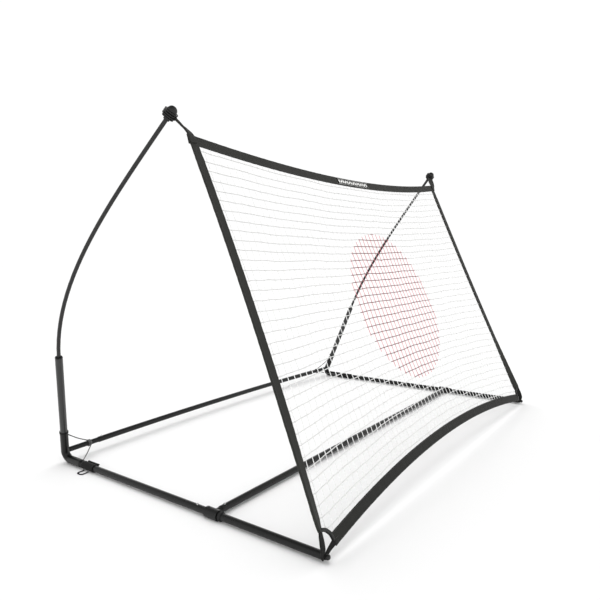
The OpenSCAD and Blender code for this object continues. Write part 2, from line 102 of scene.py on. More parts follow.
TOP_R = arc_radius(NET_TOP, TOP_SAG)
TOP_C = NET_L - TOP_SAG + TOP_R
FOOT_R = arc_radius(FOOT_END, FOOT_RISE)
FOOT_C = FOOT_END_V + FOOT_RISE - FOOT_R
SIDE_HALF = math.hypot(NET_TOP - NET_FOOT, NET_L - SIDE_FOOT_V) / 2
SIDE_R = arc_radius(SIDE_HALF, SIDE_SAG)
SIDE_OUT = ((NET_L - SIDE_FOOT_V) / (2 * SIDE_HALF), (NET_FOOT - NET_TOP) / (2 * SIDE_HALF))
SIDE_CX = (NET_TOP + NET_FOOT) / 2 + SIDE_OUT[0] * (SIDE_R - SIDE_SAG)
SIDE_CV = (NET_L + SIDE_FOOT_V) / 2 + SIDE_OUT[1] * (SIDE_R - SIDE_SAG)


def top_v(x):
    return TOP_C - math.sqrt(TOP_R ** 2 - x * x)


def foot_v(x):
    return FOOT_C + math.sqrt(FOOT_R ** 2 - x * x)


def side_x(v):
    return SIDE_CX - math.sqrt(SIDE_R ** 2 - (v - SIDE_CV) ** 2)


def foot_turn(v, side):
    """How far the side hem is turned out of the net's plane: more and more towards its foot."""
    return FOOT_TURN[side] * min(1.0, max(0.0, 1 - (v - SIDE_FOOT_V) / 0.25)) ** 1.1


def turned_normal(v, side):
    turn = foot_turn(v, side)
    return NET_N * math.cos(turn) - ACROSS * (side * math.sin(turn))


def rot(axis, angle):
    return Matrix.Rotation(angle, 4, axis)


UPRIGHT = (Matrix.Translation((HALF_W, Y_REAR, TUBE_Z)) @ rot("Y", LEAN_O) @ rot("X", LEAN_F))


def rod_end():
    p = Vector((0, 0, UPRIGHT_L))
    for i in range(1, ROD_RINGS + 1):
        s = (i - 0.5) / ROD_RINGS
        h = ROD_BEND * (1 - (1 - s) ** ROD_GATHER)
        p += rot("X", h) @ Vector((0, 0, ROD_L / ROD_RINGS))
    return p


TIP = UPRIGHT @ rot("Z", -ROD_SWING) @ Matrix.Translation(rod_end()) @ rot("X", ROD_BEND)

BAR_FOOT = (REAR_Z - TUBE_Z) / (math.cos(LEAN_F) * math.cos(LEAN_O))
BAR_END_X = HALF_W + BAR_FOOT * math.cos(LEAN_F) * math.sin(LEAN_O)
BAR_END_Y = -BAR_FOOT * math.sin(LEAN_F)
BAR_R = (BAR_END_X ** 2 + REAR_BOW ** 2) / (2 * REAR_BOW)
BAR_CY = Y_REAR + BAR_END_Y + REAR_BOW - BAR_R


def rear_line(x):
    return Vector((x, BAR_CY + math.sqrt(BAR_R ** 2 - x * x), REAR_Z))


def flip(p, side):
    return Vector((p.x * side, p.y, p.z))


# ---------------------------------------------------------------- camera

YAW, PITCH, ROLL = 0.9329, 0.0889, -0.0119
CAM_PLACE = (-1.7005, Y_REAR - 1.655, 0.6702)
fwd = Vector((math.sin(YAW) * math.cos(PITCH), math.cos(YAW) * math.cos(PITCH), -math.sin(PITCH)))
level = Vector((math.cos(YAW), -math.sin(YAW), 0))
above = level.cross(fwd)
cam_x = math.cos(ROLL) * level + math.sin(ROLL) * above
cam_y = math.cos(ROLL) * above - math.sin(ROLL) * level
cam = bpy.data.objects.new("camera", bpy.data.cameras.new("camera"))
cam.matrix_world = Matrix.Translation(CAM_PLACE) @ Matrix(
    (cam_x, cam_y, -fwd)).transposed().to_4x4()
cam.data.sensor_width = 36
cam.data.lens = 33.43
cam.data.clip_end = 60
bpy.context.scene.collection.objects.link(cam)
bpy.context.scene.camera = cam

# ---------------------------------------------------------------- materials

ONE_BAND = 0.3142                      # a wave texture's scale for bands one metre apart


class Nodes:
    """A Principled material and short ways to add nodes to it."""

    def __init__(self, name, color, roughness, **values):
        self.m = bpy.data.materials.new(name)
        self.m.use_nodes = True
        self.t = self.m.node_tree
        self.b = self.t.nodes["Principled BSDF"]
        self.b.inputs["Base Color"].default_value = (*color, 1)
        self.b.inputs["Roughness"].default_value = roughness
        for key, value in values.items():
            self.b.inputs[key.replace("_", " ")].default_value = value
        self.m.diffuse_color = (*color, 1)

    def add(self, kind, inputs=None, **props):
        n = self.t.nodes.new("ShaderNode" + kind)
        for key, value in props.items():
            setattr(n, key, value)
        for key, value in (inputs or {}).items():
            if isinstance(value, bpy.types.NodeSocket):
                self.t.links.new(value, n.inputs[key])
            else:
                n.inputs[key].default_value = value
        return n

    def link(self, socket, key):
        self.t.links.new(socket, self.b.inputs[key])

    def coords(self, kind, scale=(1, 1, 1), turn=0.0):
        c = self.add("TexCoord")
        return self.add("Mapping", {"Vector": c.outputs[kind], "Scale": scale,
                                    "Rotation": (0, 0, turn)}).outputs["Vector"]

    def noise(self, vector, scale, detail=3.0, rough=0.5):
        return self.add("TexNoise", {"Vector": vector, "Scale": scale, "Detail": detail,
                                     "Roughness": rough}).outputs["Fac"]

    def wave(self, vector, scale, direction="X", distort=0.0, detail_scale=1.0):
        return self.add("TexWave", {"Vector": vector, "Scale": scale, "Distortion": distort,
                                    "Detail Scale": detail_scale},
                        bands_direction=direction).outputs["Fac"]

    def math(self, op, a, b=0.0, c=0.0):
        n = self.add("Math", operation=op)
        for k, value in enumerate((a, b, c)):
            if isinstance(value, bpy.types.NodeSocket):
                self.t.links.new(value, n.inputs[k])
            else:
                n.inputs[k].default_value = value
        return n.outputs[0]

    def ramp(self, fac, stops):
        n = self.add("ValToRGB", {"Fac": fac})
        e = n.color_ramp.elements
        while len(e) < len(stops):
            e.new(0.5)
        for k, (pos, value) in enumerate(stops):
            e[k].position = pos
            e[k].color = (*value, 1) if hasattr(value, "__len__") else (value, value, value, 1)
        return n.outputs["Color"]

    def bump(self, height, strength, distance, under=None):
        inputs = {"Height": height, "Strength": strength, "Distance": distance}
        if under is not None:
            inputs["Normal"] = under
        out = self.add("Bump", inputs).outputs["Normal"]
        self.link(out, "Normal")
        return out


def painted_steel(name, tone, gloss, coat):
    n = Nodes(name, (tone, tone * 1.02, tone), 0.3, Specular_IOR_Level=gloss, Coat_Weight=coat, Coat_Roughness=0.12)
    o = n.coords("Object")
    dust = n.noise(o, 22, 5, 0.6)
    peel = n.noise(o, 700, 2)
    scratch = n.noise(n.coords("Object", (26, 9, 26)), 14, 6, 0.75)
    n.link(n.ramp(dust, [(0.3, (tone * 0.8, tone * 0.84, tone * 0.8)), (0.62, (tone * 1.1, tone * 1.14, tone * 1.1)),
                         (0.85, (tone * 2.4, tone * 2.3, tone * 2.2))]), "Base Color")
    n.link(n.ramp(scratch, [(0.3, 0.25), (0.56, 0.31), (0.7, 0.46)]), "Roughness")
    n.bump(scratch, 0.1, 0.0001, n.bump(peel, 0.12, 0.00012))
    return n.m


def bright_steel(name, base, rough):
    n = Nodes(name, (base, base, base * 1.01), rough, Metallic=1.0)
    o = n.coords("Object")
    n.link(n.ramp(n.noise(o, 450, 5, 0.7), [(0.35, rough * 0.7), (0.7, rough * 1.7)]), "Roughness")
    n.bump(n.noise(o, 1600, 3), 0.15, 0.00005)
    return n.m


def fibre_rod():
    n = Nodes("glass_fibre_rod", (0.007, 0.007, 0.007), 0.4)
    o = n.coords("Object", (1, 1, 0.12))
    fibre = n.noise(o, 1500, 3, 0.6)
    n.link(n.ramp(n.noise(n.coords("Object"), 30, 4), [(0.35, (0.005, 0.005, 0.005)),
                                                        (0.75, (0.010, 0.0095, 0.009))]), "Base Color")
    n.link(n.ramp(fibre, [(0.3, 0.34), (0.7, 0.5)]), "Roughness")
    n.bump(fibre, 0.25, 0.0001)
    return n.m


def moulded(name, color, rough, grain=1300):
    n = Nodes(name, color, rough, Specular_IOR_Level=0.4)
    o = n.coords("Object")
    g = n.noise(o, grain, 2)
    worn = n.noise(o, 60, 5, 0.65)
    n.link(n.ramp(worn, [(0.35, [c * 0.8 for c in color]), (0.75, [c * 1.6 for c in color])]), "Base Color")
    n.link(n.ramp(worn, [(0.3, rough * 0.85), (0.75, min(1, rough * 1.25))]), "Roughness")
    n.bump(g, 0.3, 0.00012)
    return n.m


def webbing(name, color, rib=0.0013, pick=0.0021, sheen=0.25):
    """Woven tape. The mesh's U runs along it and V across it, both in metres."""
    n = Nodes(name, color, 0.85, Sheen_Weight=sheen, Sheen_Roughness=0.45, Specular_IOR_Level=0.28)
    uv = n.coords("UV")
    ribs = n.wave(uv, ONE_BAND / rib, "Y")
    picks = n.wave(uv, ONE_BAND / pick, "X", 0.6, 60)
    weave = n.math("MULTIPLY", n.math("POWER", ribs, 0.6), n.math("ADD", n.math("MULTIPLY", picks, 0.6), 0.4))
    fuzz = n.noise(uv, 2600, 3, 0.7)
    tone = n.noise(uv, 35, 4, 0.6)
    shade = n.math("ADD", n.math("MULTIPLY", weave, 0.5), n.math("MULTIPLY", fuzz, 0.35))
    shade = n.math("ADD", shade, n.math("MULTIPLY", tone, 0.35))
    n.link(n.ramp(shade, [(0.25, [c * 0.55 for c in color]), (0.6, color), (0.95, [c * 1.55 for c in color])]),
           "Base Color")
    n.bump(fuzz, 0.2, 0.0001, n.bump(weave, 0.7, 0.0003))
    return n.m


def net_cord(name, dark, light):
    n = Nodes(name, light, 0.55, Sheen_Weight=0.15)
    uv = n.coords("UV", turn=0.9)
    strand = n.wave(uv, ONE_BAND / 0.0009, "X", 0.4, 40)
    n.link(n.ramp(strand, [(0.15, dark), (0.7, light)]), "Base Color")
    n.bump(strand, 0.6, 0.0002)
    return n.m


def thread(name, color):
    n = Nodes(name, color, 0.5, Sheen_Weight=0.1)
    strand = n.wave(n.coords("UV", turn=0.7), ONE_BAND / 0.0006, "X")
    n.link(n.ramp(strand, [(0.1, [c * 0.6 for c in color]), (0.8, [c * 1.3 for c in color])]), "Base Color")
    n.bump(strand, 0.5, 0.0001)
    return n.m


def elastic():
    n = Nodes("covered_elastic", (0.05, 0.05, 0.05), 0.6, Sheen_Weight=0.2)
    uv = n.coords("UV")
    a = n.wave(n.coords("UV", turn=0.8), ONE_BAND / 0.0012, "X")
    b = n.wave(n.coords("UV", turn=-0.8), ONE_BAND / 0.0012, "X")
    braid = n.math("MAXIMUM", a, b)
    n.link(n.ramp(n.math("ADD", n.math("MULTIPLY", braid, 0.7), n.math("MULTIPLY", n.noise(uv, 300), 0.3)),
                  [(0.3, (0.012, 0.012, 0.012)), (0.7, (0.05, 0.05, 0.05)), (1, (0.16, 0.16, 0.16))]),
           "Base Color")
    n.bump(braid, 0.6, 0.0002)
    return n.m


# One black powder coat in two copies. The rails, bars, tees and elbows get a darker tone with lower specular and
# coat: painted shade. The uprights get a lighter, glossier copy of the same paint: painted light.
STEEL = painted_steel("black_powder_coat", 0.0035, 0.26, 0.12)
UPRIGHT_PAINT_LIT = painted_steel("satin_black_powder_coat", 0.008, 0.5, 0.35)
ZINC = bright_steel("zinc_plate", 0.8, 0.2)
SPRING = bright_steel("spring_steel", 0.42, 0.3)
ROD = fibre_rod()
PLASTIC = moulded("moulded_black", (0.007, 0.007, 0.0068), 0.4)
RUBBER = moulded("black_rubber", (0.008, 0.008, 0.008), 0.7, 900)
SCREW = moulded("black_oxide", (0.02, 0.02, 0.021), 0.35, 2000)
WEB = webbing("charcoal_webbing", (0.024, 0.024, 0.0215), sheen=0.04)
# The bottom hem is the same charcoal webbing as the other hems, in a darker copy: painted shade.
FOOT_WEB_SHADED = webbing("foot_webbing_painted_shade", (0.016, 0.016, 0.0145), sheen=0.04)
WEB_DARK = webbing("black_webbing", (0.007, 0.0068, 0.0066), 0.0011, 0.0018, 0.03)
# The rows and the columns are one cord. The rows get a darker copy, grey or dark red: painted shade. The columns get
# a lighter copy, near-white or pink: painted light. The knots take the rows' darker colours.
WHITE_ROWS_SHADED = net_cord("row_cord_white_painted_shade", (0.50, 0.50, 0.495), (0.70, 0.70, 0.69))
RED_ROWS_SHADED = net_cord("row_cord_red_painted_shade", (0.055, 0.005, 0.006), (0.16, 0.011, 0.014))
WHITE_COLUMNS_LIT = net_cord("column_cord_white_painted_light", (0.78, 0.78, 0.775), (0.89, 0.89, 0.88))
RED_COLUMNS_LIT = net_cord("column_cord_pink_painted_light", (0.50, 0.11, 0.13), (0.78, 0.27, 0.30))
NET_CORDS = [WHITE_ROWS_SHADED, RED_ROWS_SHADED, WHITE_COLUMNS_LIT, RED_COLUMNS_LIT]
THREAD = thread("dark_thread", (0.022, 0.022, 0.021))
THREAD_LIGHT = thread("light_thread", (0.8, 0.8, 0.78))
ELASTIC = elastic()

for name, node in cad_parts.items():
    if "button" in name:
        m = ZINC
    elif "spring" in name:
        m = SPRING
    elif name.endswith("_rod"):
        m = ROD
    elif "ring" in name and "tee" in name:
        m = RUBBER
    elif "screw" in name:
        m = SCREW
    elif "bush" in name or "cap" in name or "plug" in name:
        m = PLASTIC
    # The uprights take the lighter copy of the black paint: painted light.
    elif "upright" in name:
        m = UPRIGHT_PAINT_LIT
    else:
        m = STEEL
    node.data.materials.clear()
    node.data.materials.append(m)

# ---------------------------------------------------------------- mesh building


def lerp(a, b, t):
    return a + (b - a) * t


def smooth_path(points, count):
    """count + 1 evenly spaced points on a Catmull-Rom curve through the points."""
    pts = [points[0] * 2 - points[1]] + list(points) + [points[-1] * 2 - points[-2]]
    fine = []
    for i in range(1, len(pts) - 2):
        p0, p1, p2, p3 = pts[i - 1:i + 3]
        for k in range(24):
            t = k / 24
            fine.append(0.5 * ((2 * p1) + (p2 - p0) * t + (2 * p0 - 5 * p1 + 4 * p2 - p3) * t * t
                               + (3 * p1 - p0 - 3 * p2 + p3) * t ** 3))
    fine.append(pts[-2].copy())
    reach = [0.0]
    for a, b in zip(fine, fine[1:]):
        reach.append(reach[-1] + (b - a).length)
    out, j = [], 0
    for i in range(count + 1):
        s = reach[-1] * i / count
        while j < len(reach) - 2 and reach[j + 1] < s:
            j += 1
        out.append(lerp(fine[j], fine[j + 1], (s - reach[j]) / max(1e-9, reach[j + 1] - reach[j])))
    return out


def tangents(path, closed=False):
    n = len(path)
    out = []
    for i in range(n):
        a = path[(i - 1) % n] if closed or i else path[0]
        b = path[(i + 1) % n] if closed or i < n - 1 else path[-1]
        out.append((b - a).normalized())
    return out


TAPE = [(1, 0), (0.985, 0.55), (0.95, 0.92), (0.88, 1), (0.6, 0.93), (0.3, 0.9), (0, 0.9),
        (-0.3, 0.9), (-0.6, 0.93), (-0.88, 1), (-0.95, 0.92), (-0.985, 0.55)]
TAPE = TAPE + [(-a, -b) for a, b in TAPE]


class Build:
    """Collects the faces of one piece, with a UV in metres and a material for each face."""

    def __init__(self):
        self.verts, self.faces, self.uvs, self.mats = [], [], [], []

    def loft(self, rings, mat=0, closed=False, mats=None):
        """A skin over rings of points, capped at both ends unless it is closed on itself."""
        n, base = len(rings[0]), len(self.verts)
        for ring in rings:
            self.verts.extend(ring)
        around = [0.0]
        for k in range(n):
            around.append(around[-1] + (rings[0][(k + 1) % n] - rings[0][k]).length)
        u, count = 0.0, len(rings)
        for j in range(count if closed else count - 1):
            j2 = (j + 1) % count
            u2 = u + (rings[j2][0] - rings[j][0]).length
            for k in range(n):
                k2 = (k + 1) % n
                self.faces.append((base + j * n + k, base + j * n + k2, base + j2 * n + k2, base + j2 * n + k))
                self.uvs.append(((u, around[k]), (u, around[k + 1]), (u2, around[k + 1]), (u2, around[k])))
                self.mats.append(mats[j] if mats else mat)
            u = u2
        if not closed:
            for j, order in ((0, range(n - 1, -1, -1)), (count - 1, range(n))):
                ids = [base + j * n + k for k in order]
                self.faces.append(tuple(ids))
                self.uvs.append(tuple((self.verts[i] @ ACROSS, self.verts[i].z) for i in ids))
                self.mats.append(mats[min(j, len(mats) - 1)] if mats else mat)

    def tape(self, path, normals, width, thick, mat=0, closed=False, ripple=0.0, phase=0.0):
        """A woven strip. width and thick are numbers, or functions of the share of the length."""
        dirs = tangents(path, closed)
        rings, s = [], 0.0
        for i, p in enumerate(path):
            if i:
                s += (p - path[i - 1]).length
            f = i / max(1, len(path) - 1)
            nrm = normals[i] if isinstance(normals, list) else normals
            side = dirs[i].cross(nrm).normalized()
            up = side.cross(dirs[i]).normalized()
            w = (width(f) if callable(width) else width) / 2
            t = (thick(f) if callable(thick) else thick) / 2
            lift = ripple * (math.sin(s * 165 + phase) * 0.6 + math.sin(s * 371 + 2 * phase) * 0.4)
            edge = 1 + ripple * 12 * math.sin(s * 233 + phase)
            rings.append([p + side * (a * w * edge) + up * (b * t + lift * (0.6 + 0.4 * a * a)) for a, b in TAPE])
        self.loft(rings, mat, closed)

    def cord(self, path, radius, sides=8, mat=0, mats=None, closed=False, up=None):
        """A round cord. radius is a number, or a function of the point's index."""
        dirs = tangents(path, closed)
        rings, nrm = [], up if up is not None else Vector((0, 0, 1))
        if up is None and abs(dirs[0].z) > 0.9:
            nrm = Vector((1, 0, 0))
        for i, p in enumerate(path):
            d = dirs[i]
            side = d.cross(nrm).normalized()
            nrm2 = side.cross(d).normalized()
            if up is None:
                nrm = nrm2
            r = radius(i) if callable(radius) else radius
            rings.append([p + (nrm2 * math.cos(math.tau * k / sides) - side * math.sin(math.tau * k / sides)) * r
                          for k in range(sides)])
        self.loft(rings, mat, closed, mats)

    def bead(self, centre, along, across, up, size, mat=0):
        """A small rounded block, such as a stitch: size is (length, width, height)."""
        base = len(self.verts)
        for lift, shrink in ((-0.5, 1.0), (0.35, 1.0), (0.8, 0.62)):
            for a, b in ((-1, -1), (1, -1), (1, 1), (-1, 1)):
                self.verts.append(centre + along * (a * size[0] / 2 * (shrink if lift > 0.5 else 1))
                                  + across * (b * size[1] / 2 * shrink) + up * (lift * size[2]))
        for j in (0, 1):
            for k in range(4):
                k2 = (k + 1) % 4
                self.face((base + 4 * j + k, base + 4 * j + k2, base + 4 * j + 4 + k2, base + 4 * j + 4 + k), mat)
        self.face((base + 8, base + 9, base + 10, base + 11), mat)
        self.face((base + 3, base + 2, base + 1, base), mat)

    def face(self, ids, mat):
        self.faces.append(ids)
        self.uvs.append(tuple((self.verts[i].x, self.verts[i].z) for i in ids))
        self.mats.append(mat)

    def knot(self, centre, r, spin, mat=0):
        """A small faceted blob, where two cords of the net cross."""
        base = len(self.verts)
        g = 0.618
        ico = [(0, 1, g), (0, 1, -g), (0, -1, g), (0, -1, -g), (1, g, 0), (1, -g, 0), (-1, g, 0), (-1, -g, 0),
               (g, 0, 1), (-g, 0, 1), (g, 0, -1), (-g, 0, -1)]
        c, s = math.cos(spin), math.sin(spin)
        for a, b, h in ico:
            a, b = a * c - b * s, a * s + b * c
            self.verts.append(centre + (ACROSS * a + NET_UP * b) * (r * 0.85) + NET_N * (h * r * 0.7))
        for f in ((0, 8, 4), (0, 4, 1), (0, 1, 6), (0, 6, 9), (0, 9, 8), (3, 10, 5), (3, 5, 2), (3, 2, 7),
                  (3, 7, 11), (3, 11, 10), (8, 5, 4), (4, 5, 10), (4, 10, 1), (1, 10, 11), (1, 11, 6),
                  (6, 11, 7), (6, 7, 9), (9, 7, 2), (9, 2, 8), (8, 2, 5)):
            self.face(tuple(base + i for i in f), mat)

    def done(self, name, materials, replaces=(), body=None, blend=None):
        """Makes the Blender object, parents it to its body's empty or bakes its place into the mesh, and hides the
        nodes it replaces.
        """
        mesh = bpy.data.meshes.new(name)
        mesh.from_pydata([tuple(v) for v in self.verts], [], self.faces)
        layer = mesh.uv_layers.new(name="UVMap")
        flat = [c for uv in self.uvs for pair in uv for c in pair]
        layer.data.foreach_set("uv", flat)
        for m in materials:
            mesh.materials.append(m)
        mesh.polygons.foreach_set("material_index", self.mats)
        bm = bmesh.new()
        bm.from_mesh(mesh)
        bmesh.ops.recalc_face_normals(bm, faces=bm.faces)
        bm.to_mesh(mesh)
        bm.free()
        mesh.shade_smooth()
        mesh.update()
        obj = bpy.data.objects.new(name, mesh)
        bpy.context.scene.collection.objects.link(obj)
        if blend:
            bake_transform(obj)
        else:
            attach(obj, body)
        if replaces:
            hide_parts(*replaces)


def bow(side):
    """The name of the rod's bow on this side, a point on the net's diagonal and the net's top corner."""
    name = "left_bow" if side < 0 else "right_bow"
    return name, net_point(side * 0.2649, 0.6064), net_point(side * NET_TOP, NET_L)


def stitches(b, path, normal, offset, lift, mat=0, pitch=0.0042, both=True):
    """A straight row of stitches beside a path, on one face of a strip or on both."""
    dirs = tangents(path)
    reach = 0.0
    nxt = pitch
    for i in range(1, len(path)):
        seg = (path[i] - path[i - 1]).length
        while reach + seg >= nxt:
            t = (nxt - reach) / seg
            p = lerp(path[i - 1], path[i], t)
            d = dirs[i]
            side = d.cross(normal).normalized()
            c = p + side * (offset + rng.uniform(-1, 1) * 0.0001)
            for up in ((1, -1) if both else (1,)):
                b.bead(c + normal * (lift * up), d, side, normal * up, (pitch * 0.8, 0.0008, 0.0005), mat)
            nxt += pitch
        reach += seg


# ---------------------------------------------------------------- net

ROWS, COLS = 37, 30
ROW_R, COLUMN_R = 0.00120, 0.00092


def relief(x, v):
    """How far the net stands in front of its plane: it hangs back a little between its hems."""
    inside = max(0.0, side_x(v) - abs(x))
    pull = min(inside, HEM_W / 2) * math.sin(foot_turn(v, 1 if x > 0 else -1))
    pull *= 1 - min(1.0, max(0.0, inside - HEM_W / 2) / 0.10) ** 0.7
    a = max(0.0, 1 - (x / 0.74) ** 2)
    b = max(0.0, math.sin(math.pi * min(1, max(0, (v + 0.01) / 0.98))))
    wave = math.sin(x * 9.1 + v * 5.3) * math.sin(v * 12.7 - x * 3.1 + 1.0)
    return -0.005 * a * b + 0.0022 * wave * a * b - pull


def knot_place(i, j, side):
    """Column i from the middle of the net, row j from its foot."""
    f = j / ROWS
    x = 0.0
    for _ in range(3):
        v = foot_v(min(x, FOOT_END)) * (1 - f) + top_v(x) * f
        x = side_x(v) * i / COLS
    rnd = random.Random(i * 977 + j * 31 + (5 if side > 0 else 0) * (i > 0))
    free = min(1, i, COLS - i) * min(1, j, ROWS - j) if i else min(1, j, ROWS - j)
    x += (0.0009 * rnd.uniform(-1, 1) + 0.0012 * math.sin(j * 0.7 + i * 0.35)) * (free if i else 0)
    v += (0.0009 * rnd.uniform(-1, 1) + 0.0010 * math.sin(i * 0.55 + j * 0.2)) * free
    return side * x, v


def in_corner(x, v):
    """Inside the round cut-out at a lower corner of the net."""
    return (abs(x) - NET_FOOT) ** 2 + (v - FOOT_END_V) ** 2 < CORNER_R ** 2


def strand(b, points, radius, mat):
    """A cord through knots: it is split at the target's edge, and thinner between knots."""
    out, flags = [], []
    for (xa, va), (xb, vb) in zip(points, points[1:]):
        cuts = [0.0, 0.5]
        fx, fv = xb - xa, vb - va
        qa, qb = fx * fx + fv * fv, 2 * (xa * fx + (va - TARGET_V) * fv)
        qc = xa * xa + (va - TARGET_V) ** 2 - TARGET_R ** 2
        disc = qb * qb - 4 * qa * qc
        if disc > 0:
            cuts += [t for t in ((-qb - math.sqrt(disc)) / (2 * qa), (-qb + math.sqrt(disc)) / (2 * qa))
                     if 0.02 < t < 0.98 and abs(t - 0.5) > 0.02]
        cuts = sorted(cuts)
        for k, t in enumerate(cuts):
            x, v = xa + fx * t, va + fv * t
            out.append((net_point(x, v, relief(x, v)), radius * (1.12 if k == 0 else 0.92)))
            t2 = cuts[k + 1] if k + 1 < len(cuts) else 1.0
            mx, mv = xa + fx * (t + t2) / 2, va + fv * (t + t2) / 2
            flags.append(mat + (1 if mx * mx + (mv - TARGET_V) ** 2 < TARGET_R ** 2 else 0))
    x, v = points[-1]
    out.append((net_point(x, v, relief(x, v)), radius))
    b.cord([p for p, _ in out], lambda i: out[i][1], 7, mats=flags, up=NET_N)


for side, word in ((-1, "left"), (1, "right")):
    b = Build()
    grid = [[knot_place(i, j, side) for i in range(COLS + 1)] for j in range(ROWS + 1)]
    # The rows and knots use the darker cord colours (painted shade), and the columns use the lighter ones (painted
    # light).
    for j in range(1, ROWS):
        row = [p for p in grid[j] if not in_corner(*p)]
        strand(b, row, ROW_R, 0)
    for i in range(0 if side < 0 else 1, COLS):
        col = [grid[j][i] for j in range(ROWS + 1) if not in_corner(*grid[j][i])]
        strand(b, col, COLUMN_R, 2)
    for j in range(1, ROWS):
        for i in range(0 if side < 0 else 1, COLS):
            x, v = grid[j][i]
            if not in_corner(x, v):
                red = x * x + (v - TARGET_V) ** 2 < TARGET_R ** 2
                b.knot(net_point(x, v, relief(x, v)), 0.0015, i * 1.3 + j * 0.7, 1 if red else 0)
    b.done(f"net_cords_{word}", NET_CORDS, ("net",) if side < 0 else (),
           blend=bow(side))

# ---------------------------------------------------------------- hems


def side_hem_width(f, side):
    """The webbing narrows at its foot, and the left one more than the right."""
    if side < 0:
        return HEM_W * (0.4 + 0.6 * min(1.0, f / 0.028) ** 0.8)
    return HEM_W * (0.85 + 0.15 * min(1.0, f / 0.015))


def side_hem_thick(f):
    """Two layers of webbing, thicker at the foot and single at the top corner."""
    return 0.0060 + 0.0018 * max(0.0, 1 - f / 0.1) if f < 0.96 else 0.0046


for side, word in ((-1, "left"), (1, "right")):
    b = Build()
    n = 150
    reach = NET_TOP + HEM_W / 2 + 0.003
    path = [net_point(side * reach * (1 - i / n), top_v(reach * (1 - i / n)), 0.0002) for i in range(n + 1)]
    b.tape(path, NET_N, TOP_W, HEM_T + 0.0002, ripple=0.0003, phase=side)
    for off in (-0.0118, 0.0118):
        stitches(b, path[1:-1], NET_N, off, 0.00165, 1)
    b.done(f"top_hem_{word}", [WEB, THREAD], ("top_hem",) if side < 0 else (), blend=bow(side))

    b = Build()
    path = [net_point(side * FOOT_END * (1 - i / n), foot_v(FOOT_END * (1 - i / n)), 0.0002)
            for i in range(n + 1)]
    b.tape(path, NET_N, FOOT_W, HEM_T + 0.0002, ripple=0.0003, phase=side + 2)
    for off in (-0.0124, 0.0124):
        stitches(b, path[1:-1], NET_N, off, 0.00165, 1)
    b.done(f"bottom_hem_{word}", [FOOT_WEB_SHADED, THREAD], ("bottom_hem",) if side < 0 else (), body="root")

    b = Build()
    n = 130
    low, high = SIDE_FOOT_V - 0.002, top_v(NET_TOP) - 0.006
    steps = [low + (high - low) * i / n for i in range(n + 1)]
    path = [net_point(side * side_x(v), v, -0.0002) for v in steps]
    b.tape(path, [turned_normal(v, side) for v in steps], lambda f: side_hem_width(f, side), side_hem_thick,
           ripple=0.0004, phase=side + 4)
    for off in (-0.0104, 0.0104):
        stitches(b, path[30:-6], NET_N, off, 0.0031, 1)
    b.done(f"side_hem_{word}", [WEB, THREAD], (f"{word}_hem",), blend=bow(side))

# ---------------------------------------------------------------- label

LABEL_HALF, LABEL_W, LABEL_T = 0.100, 0.020, 0.0009
BARS, BAR_TALL, BAR_BEADS = 15, 0.0105, 6
b = Build()
n = 60
path = [net_point(lerp(-LABEL_HALF, LABEL_HALF, i / n), top_v(lerp(-LABEL_HALF, LABEL_HALF, i / n)),
                  HEM_T / 2 + 0.0007) for i in range(n + 1)]
b.tape(path, NET_N, LABEL_W, LABEL_T)
for k in range(BARS):
    x = lerp(-LABEL_HALF + 0.010, LABEL_HALF - 0.010, k / (BARS - 1))
    c = net_point(x, top_v(x), HEM_T / 2 + 0.00115)
    slant = (NET_UP + ACROSS * (0.35 if k % 2 else -0.35)).normalized()
    for m in range(BAR_BEADS):
        b.bead(c + slant * (BAR_TALL * ((m + 0.5) / BAR_BEADS - 0.5)), ACROSS, slant, NET_N,
               (0.0085, BAR_TALL / 6.5, 0.0006), 1)
stitches(b, path, NET_N, 0.0088, 0.00045, 1, 0.003, both=False)
stitches(b, path, NET_N, -0.0088, 0.00045, 1, 0.003, both=False)
b.done("label_band", [WEB_DARK, THREAD_LIGHT], ("label_patch",), body="root")

# ---------------------------------------------------------------- corners of the net

RAIL_REACH = 1.002                     # from the upright corners to the plug's flange
PLUG_FLANGE, PLUG_NECK = 0.0024, 0.0076
NECK = Vector((HALF_W, Y_REAR - RAIL_REACH - PLUG_FLANGE - 0.65 * PLUG_NECK, TUBE_Z))
NECK_RING_R, NECK_RING_W, NECK_RING_T = 0.0062, 0.0068, 0.0024
CAP_DEPTH, CAP_FIN_PITCH, CAP_FIN_T = 0.016, 0.0054, 0.0026
CAP_GROOVE = -CAP_DEPTH + 1.5 * CAP_FIN_PITCH + CAP_FIN_T / 2   # along the cap, from the rod's end
CAP_RING_R = 0.0126
STRAP_START = Vector((-0.71, 0.70, 0.11))  # the way the top strap's width points at the cap


def leg_normal(f, side):
    """The outer strand starts on the side hem. The right one turns on with it, the left one turns back."""
    start = turned_normal(lerp(0.075, 0.0, min(1.0, f * 2)), side)
    low = max(0.0, f - 0.4) / 0.6
    return (start - ACROSS * (0.4 * low)) if side > 0 else lerp(start, NET_N, min(1.0, low * 2))


